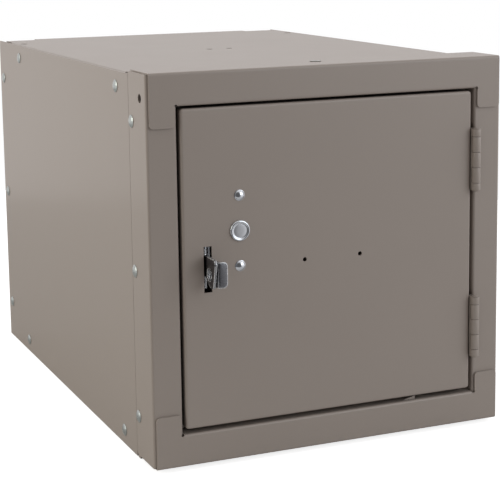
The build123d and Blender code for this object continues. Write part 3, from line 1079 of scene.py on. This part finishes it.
@dataclass
class EasedPiece:
    """A small piece with the shape of its node and all its sharp edges eased.

    It may be stretched along Z, shrunk across and lowered, as the photograph shows it. Its sizes are
    in millimetres and its angles in degrees.
    """

    workshop: Workshop
    node: str
    name: str
    body: Body
    finish: Finish
    ease: float
    rounds: int = 2
    stretch: float = 1.0
    shrink: float = 1.0
    drop: float = 0.0
    weld: float = 0.002
    flat_angle: float = 0.8
    sharp_angle: float = 28.0

    def build(self) -> None:
        """Ease the edges of a copy of the node's shape and fit the piece."""
        shape = bmesh.new()
        shape.from_mesh(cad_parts[self.node].data)
        bmesh.ops.transform(shape, matrix=self._adjustment(), verts=shape.verts)
        bmesh.ops.remove_doubles(shape, verts=shape.verts, dist=self.weld * MM)
        bmesh.ops.dissolve_limit(
            shape,
            angle_limit=math.radians(self.flat_angle),
            verts=shape.verts,
            edges=shape.edges,
            use_dissolve_boundaries=False,
        )
        sharp = math.radians(self.sharp_angle)
        inner = [edge for edge in shape.edges if len(edge.link_faces) == 2]
        folds = [edge for edge in inner if edge.calc_face_angle() > sharp]
        bmesh.ops.bevel(
            shape,
            geom=folds,
            offset=self.ease * MM,
            offset_type="OFFSET",
            segments=self.rounds,
            profile=0.5,
            affect="EDGES",
            clamp_overlap=True,
        )
        self.workshop.fit(shape, self.name, [self.node], self.body, self.finish)

    def _adjustment(self) -> Matrix:
        """Give the stretch, the shrinking and the drop about the node's middle.

        Returns:
            The matrix.
        """
        low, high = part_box(self.node)
        middle = (low + high) / 2
        scale = Matrix.Diagonal((self.shrink, self.shrink, self.stretch, 1.0))
        lowered = Matrix.Translation(middle - Vector((0, 0, self.drop * MM)))
        return lowered @ scale @ Matrix.Translation(-middle)


def carve(mesh: bpy.types.Mesh, low: Vector, high: Vector) -> bpy.types.Mesh:
    """Cut the box between two corners out of a mesh.

    Args:
        mesh: The closed mesh, which is used up.
        low: The box's lowest corner, in millimetres.
        high: Its highest corner.

    Returns:
        The mesh that is left.
    """
    box = bmesh.new()
    middle = (low + high) / 2 * MM
    size = (high - low) * MM
    bmesh.ops.create_cube(box, matrix=Matrix.Translation(middle) @ Matrix.Diagonal((*size, 1.0)))
    cutter_mesh = bpy.data.meshes.new("cutter")
    box.to_mesh(cutter_mesh)
    box.free()
    cutter = bpy.data.objects.new("cutter", cutter_mesh)
    blank = bpy.data.objects.new("blank", mesh)
    for item in (cutter, blank):
        bpy.context.scene.collection.objects.link(item)
    cut = blank.modifiers.new("cut", "BOOLEAN")
    cut.operation = "DIFFERENCE"
    cut.solver = "EXACT"
    cut.object = cutter
    bpy.context.view_layer.update()
    graph = bpy.context.evaluated_depsgraph_get()
    result = bpy.data.meshes.new_from_object(blank.evaluated_get(graph))
    for item in (cutter, blank):
        bpy.data.objects.remove(item)
    bpy.data.meshes.remove(cutter_mesh)
    bpy.data.meshes.remove(mesh)
    return result


@dataclass
class BodyPanel:
    """A body panel with its node's shape, at the height that the photograph shows, less what is cut away."""

    workshop: Workshop
    node: str
    cuts: Sequence[tuple[Vector, Vector]] = ()

    def build(self) -> None:
        """Copy the node's shape, cut the boxes away, bring it to height and fit it."""
        name = f"{self.node}_sheet"
        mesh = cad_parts[self.node].data.copy()
        mesh.name = name
        for low, high in self.cuts:
            mesh = carve(mesh, low, high)
            mesh.shade_flat()
        for vert in mesh.vertices:
            vert.co.z *= BODY_SHARE
        self.workshop.fit_mesh(mesh, name, [self.node], Body.CABINET, Finish.PAINT)


@dataclass
class SubAssembly:
    """Pieces that are made together, with their sizes in millimetres."""

    workshop: Workshop

    def pieces(self) -> Sequence[BodyPanel | TurnedSet | EasedPiece]:
        """List the pieces in the order in which they are made."""
        raise NotImplementedError

    def build(self) -> None:
        """Make and fit each of them."""
        for piece in self.pieces():
            piece.build()


@dataclass
class BodyShell(SubAssembly):
    """The five folded sheets of the body, with a notch and a crease in each side panel by the frame."""

    notch_lap: float = 1.1
    notch_rise: float = 1.0
    crease_gap: float = 4.0
    crease_width: float = 2.5
    crease_depth: float = 1.5
    overrun: float = 3.0

    def pieces(self) -> list[BodyPanel]:
        """List the panels, the side panels last.

        Returns:
            The panels.
        """
        panels = [BodyPanel(self.workshop, f"{part}_panel") for part in ("top", "bottom", "back")]
        for side in Side:
            panels.append(BodyPanel(self.workshop, f"{side.value}_side_panel", self._cuts(side)))
        return panels

    def _cuts(self, side: Side) -> list[tuple[Vector, Vector]]:
        """Place the notch at the foot behind the frame's flange, and the crease beside the flange.

        Args:
            side: The side that the panel is on.

        Returns:
            The lowest and highest corner of each box, in millimetres.
        """
        panel_low, panel_high = span(f"{side.value}_side_panel")
        flange_low, flange_high = span(f"{side.value}_stile")
        below = panel_low - Vector((self.overrun,) * 3)
        above = panel_high + Vector((self.overrun,) * 3)
        notch_high = Vector((above.x, flange_high.y - self.notch_lap, flange_low.z + self.notch_rise))
        crease_low, crease_high = below.copy(), above.copy()
        crease_low.y = flange_high.y + self.crease_gap
        crease_high.y = crease_low.y + self.crease_width
        if side is Side.LEFT:
            crease_high.x = panel_low.x + self.crease_depth
        else:
            crease_low.x = panel_high.x - self.crease_depth
        return [(below, notch_high), (crease_low, crease_high)]


@dataclass
class Fasteners(SubAssembly):
    """Every rivet, the lock hole plugs and the rail screw with its nut."""

    screw_ease: float = 0.25
    screw_rise: float = 0.45
    screw_shrink: float = 0.96
    nut_ease: float = 0.3

    def pieces(self) -> list[TurnedSet | EasedPiece]:
        """List the fasteners. The rivets of the body are at the body's shown height.

        Returns:
            The fasteners.
        """
        shop, cabinet, zinc = self.workshop, Body.CABINET, Finish.ZINC
        door, bright = Body.DOOR, Finish.BRIGHT
        rivets = []
        for side in Side:
            for row, share in (("side", BODY_SHARE), ("stile", 1.0)):
                place = f"{side.value}_{row}"
                names = (f"{place}_rivets", f"{place}_domed_rivets")
                rivets.append(DomedRivets(shop, *names, Facing[side.name], cabinet, zinc, share))
        return [
            *rivets,
            DomedRivets(shop, "back_rivets", "back_domed_rivets", Facing.REAR, cabinet, zinc, BODY_SHARE),
            StapleRivets(shop, "staple_rivets", "staple_domed_rivets", Facing.FRONT, cabinet, zinc),
            StudPlugs(shop, "lock_hole_plugs", "stud_hole_caps", Facing.FRONT, door, bright),
            DialPlug(shop, "dial_hole_plug", "dial_hole_cap", Facing.FRONT, door, bright),
            EasedPiece(
                shop,
                "rail_screw",
                "rail_cross_screw",
                cabinet,
                Finish.PAINT,
                self.screw_ease,
                shrink=self.screw_shrink,
                drop=-self.screw_rise,
            ),
            EasedPiece(shop, "rail_screw_nut", "rail_hex_nut", cabinet, zinc, self.nut_ease),
        ]


@dataclass
class Ironmongery(SubAssembly):
    """The hinges, the padlock staple, the finger lift with its studs, and the bumpers."""

    leaf_ease: float = 0.28
    pin_ease: float = 0.2
    hinge_stretch: float = 0.965
    upper_hinge_drop: float = 0.9
    plate_ease: float = 0.35
    stud_ease: float = 0.25
    pad_ease: float = 0.5
    fine_rounds: int = 3

    def pieces(self) -> list[EasedPiece]:
        """List the pieces, both hinges first.

        Returns:
            The pieces.
        """
        shop, cabinet, zinc, rubber = self.workshop, Body.CABINET, Finish.ZINC, Finish.RUBBER
        plate, pad, rounds = self.plate_ease, self.pad_ease, self.fine_rounds
        return [
            *self._hinge("upper", self.upper_hinge_drop),
            *self._hinge("lower", 0.0),
            EasedPiece(shop, "padlock_staple", "padlock_staple_plate", cabinet, zinc, plate, rounds),
            EasedPiece(shop, "latch_lift", "finger_lift_plate", Body.LIFT, zinc, plate, rounds),
            EasedPiece(shop, "lift_guide_studs", "lift_guide_stud_heads", Body.DOOR, zinc, self.stud_ease),
            EasedPiece(shop, "door_bumpers", "door_bumper_pads", cabinet, rubber, pad, rounds),
        ]

    def _hinge(self, level: str, drop: float) -> list[EasedPiece]:
        """List the two leaves and the pin of one hinge.

        Args:
            level: The word for its place in the names of its nodes.
            drop: How far the photograph shows it below its packed place.

        Returns:
            The three pieces.
        """
        parts = (
            ("frame_leaf", Body.CABINET, self.leaf_ease),
            ("door_leaf", Body.DOOR, self.leaf_ease),
            ("pin", Body.CABINET, self.pin_ease),
        )
        pieces = []
        for part, body, ease in parts:
            node = f"{level}_hinge_{part}"
            adjusted = {"stretch": self.hinge_stretch, "drop": drop}
            pieces.append(
                EasedPiece(self.workshop, node, f"{node}_eased", body, Finish.PAINT, ease, **adjusted)
            )
        return pieces


@dataclass(frozen=True)
class Fade:
    """A smooth change from its first level to its last between two places on a line."""

    start: float
    end: float
    first: float
    last: float

    def along(self, board: NodeBoard, value: Wire) -> Wire:
        """Give the level at each value that the board's wire carries."""
        return board.ramp(value, self.start, self.end, self.first, self.last)


@dataclass(frozen=True)
class SoftBox:
    """A rectangular lamp: its place, what it faces, its sides in metres, its watts and its tint."""

    name: str
    place: Point
    aim: Point
    size: Flat
    power: float
    tint: Colour

    def hang(self) -> None:
        """Make the lamp and turn it to the point that it faces."""
        data = bpy.data.lights.new(self.name, "AREA")
        data.color = self.tint
        data.shape = "RECTANGLE"
        data.size, data.size_y = self.size
        data.energy = self.power
        lamp = bpy.data.objects.new(self.name, data)
        lamp.location = self.place
        way = Vector(self.aim) - Vector(self.place)
        lamp.rotation_euler = way.to_track_quat("-Z", "Y").to_euler()
        bpy.context.scene.collection.objects.link(lamp)


@dataclass
class Studio:
    """The floor, the two soft boxes and the white surroundings, in metres."""

    warm_box: SoftBox = SoftBox(
        "soft box left", (-1.85, -0.05, 0.85), (0.0, -0.05, 0.15), (1.2, 1.2), 9.6, (1.0, 0.985, 0.87)
    )
    cool_box: SoftBox = SoftBox(
        "soft box right", (0.95, -1.35, 0.7), (0.05, -0.2, 0.12), (1.2, 1.1), 7.4, (0.9, 0.95, 1.0)
    )
    floor_radius: float = 0.8
    floor_place: Point = (0.0, 0.3, -0.0002)
    floor_segments: int = 96
    floor_colour: Colour = (0.74, 0.74, 0.74)
    floor_shade: Colour = (0.72, 0.72, 0.72)
    floor_patches: float = 2.0
    floor_roughness: float = 0.9
    floor_gloss: float = 0.1
    floor_glow: float = 0.8
    mirrored_glow: float = 0.05
    white: Colour = (1.0, 1.0, 1.0)
    room_tint: Colour = (1.0, 0.965, 0.96)
    # The way into the picture, across the floor. The room's levels change along it.
    forward: Flat = (0.387, 0.922)
    room: Fade = Fade(-0.75, 0.1, 0.3, 0.6)
    mirrored_behind: Fade = Fade(-0.85, -0.3, 0.12, 0.95)
    mirrored_right: Fade = Fade(0.1, 0.7, 0.12, 0.85)

    def build(self) -> None:
        """Make the floor, the lights and the world."""
        self._floor()
        for lamp in (self.warm_box, self.cool_box):
            lamp.hang()
        self._world()

    @staticmethod
    def _seen(board: NodeBoard) -> tuple[Wire, Wire]:
        """Tell the rays that look at the background from those that a surface mirrors.

        Args:
            board: The board of the material or the world.

        Returns:
            A wire that is 1 for rays from the camera or through glass, and one that is 1 for mirrored rays.
        """
        rays = board.add("ShaderNodeLightPath").outputs
        seen = board.math("MAXIMUM", rays["Is Camera Ray"], rays["Is Transmission Ray"])
        return seen, rays["Is Glossy Ray"]

    def _floor(self) -> None:
        """Lay a round floor that shows white to the camera and still takes the object's shadow."""
        mesh = bpy.data.meshes.new("studio_floor")
        rounded = bmesh.new()
        bmesh.ops.create_circle(
            rounded, cap_ends=True, segments=self.floor_segments, radius=self.floor_radius
        )
        rounded.to_mesh(mesh)
        rounded.free()
        floor = bpy.data.objects.new("studio_floor", mesh)
        bpy.context.scene.collection.objects.link(floor)
        floor.location = self.floor_place
        material, board, shader = start_material("studio floor")
        tone = board.ramp(board.noise(board.here(), self.floor_patches), 0.0, 1.0, to_low=0.98)
        board.feed(shader, Base_Color=board.mix(tone, self.floor_shade, self.floor_colour))
        board.feed(shader, Roughness=self.floor_roughness, Specular_IOR_Level=self.floor_gloss)
        seen, glossy = self._seen(board)
        mirrored = board.math("MULTIPLY", glossy, self.mirrored_glow)
        glow = board.math("ADD", board.math("MULTIPLY", seen, self.floor_glow), mirrored)
        board.feed(shader, Emission_Strength=glow, Emission_Color=(*self.white, 1.0))
        mesh.materials.append(material)

    def _world(self) -> None:
        """Surround the set with white to look at, a softer room to light it and a darker one to mirror."""
        world = bpy.data.worlds.new("studio")
        world.use_nodes = True
        bpy.context.scene.world = world
        board = NodeBoard(world.node_tree)
        sky = next(n for n in world.node_tree.nodes if n.type == "BACKGROUND")
        way = board.add("ShaderNodeTexCoord").outputs["Generated"]
        parts = board.add("ShaderNodeSeparateXYZ", {0: way}).outputs
        sideways = board.math("MULTIPLY", parts["X"], self.forward[0])
        ahead = board.math("ADD", sideways, board.math("MULTIPLY", parts["Y"], self.forward[1]))
        behind = self.mirrored_behind.along(board, ahead)
        right = self.mirrored_right.along(board, parts["X"])
        seen, glossy = self._seen(board)
        mirrored = board.math("MAXIMUM", behind, right)
        around = board.mix_numbers(glossy, self.room.along(board, ahead), mirrored)
        strength = board.mix_numbers(seen, around, 1.0)
        board.feed(sky, Strength=strength, Color=board.mix(seen, self.room_tint, self.white))


@dataclass
class Camera:
    """The camera at the photograph's place and angle."""

    place: Point = (-0.50671, -1.26230, 0.41045)
    heading: float = -22.7269
    pitch: float = -8.9527
    roll: float = -0.8253
    lens: float = 107.450
    sensor: float = 36.0
    shift: Flat = (0.0083, -0.1670)
    far: float = 50.0

    def build(self) -> None:
        """Make the camera and use it for the scene."""
        data = bpy.data.cameras.new("camera")
        data.lens = self.lens
        data.sensor_width = self.sensor
        data.shift_x, data.shift_y = self.shift
        data.clip_end = self.far
        camera = bpy.data.objects.new("camera", data)
        bpy.context.scene.collection.objects.link(camera)
        turn = Matrix.Rotation(math.radians(self.heading), 4, "Z")
        tilt = Matrix.Rotation(math.radians(90 + self.pitch), 4, "X")
        lean = Matrix.Rotation(math.radians(self.roll), 4, "Z")
        camera.matrix_world = Matrix.Translation(self.place) @ turn @ tilt @ lean
        bpy.context.scene.camera = camera


def main() -> None:
    """Dress the frame, add the fine pieces and set up the studio."""
    logging.basicConfig(level=logging.INFO, format="%(name)s: %(message)s")
    bpy.context.scene.view_settings.view_transform = "Standard"
    finishes = Finishes(SharedEffects())
    PackedNodes(finishes).dress()
    workshop = Workshop(finishes)
    BodyShell(workshop).build()
    Fasteners(workshop).build()
    Ironmongery(workshop).build()
    Studio().build()
    Camera().build()


if __name__ == "__main__":
    main()
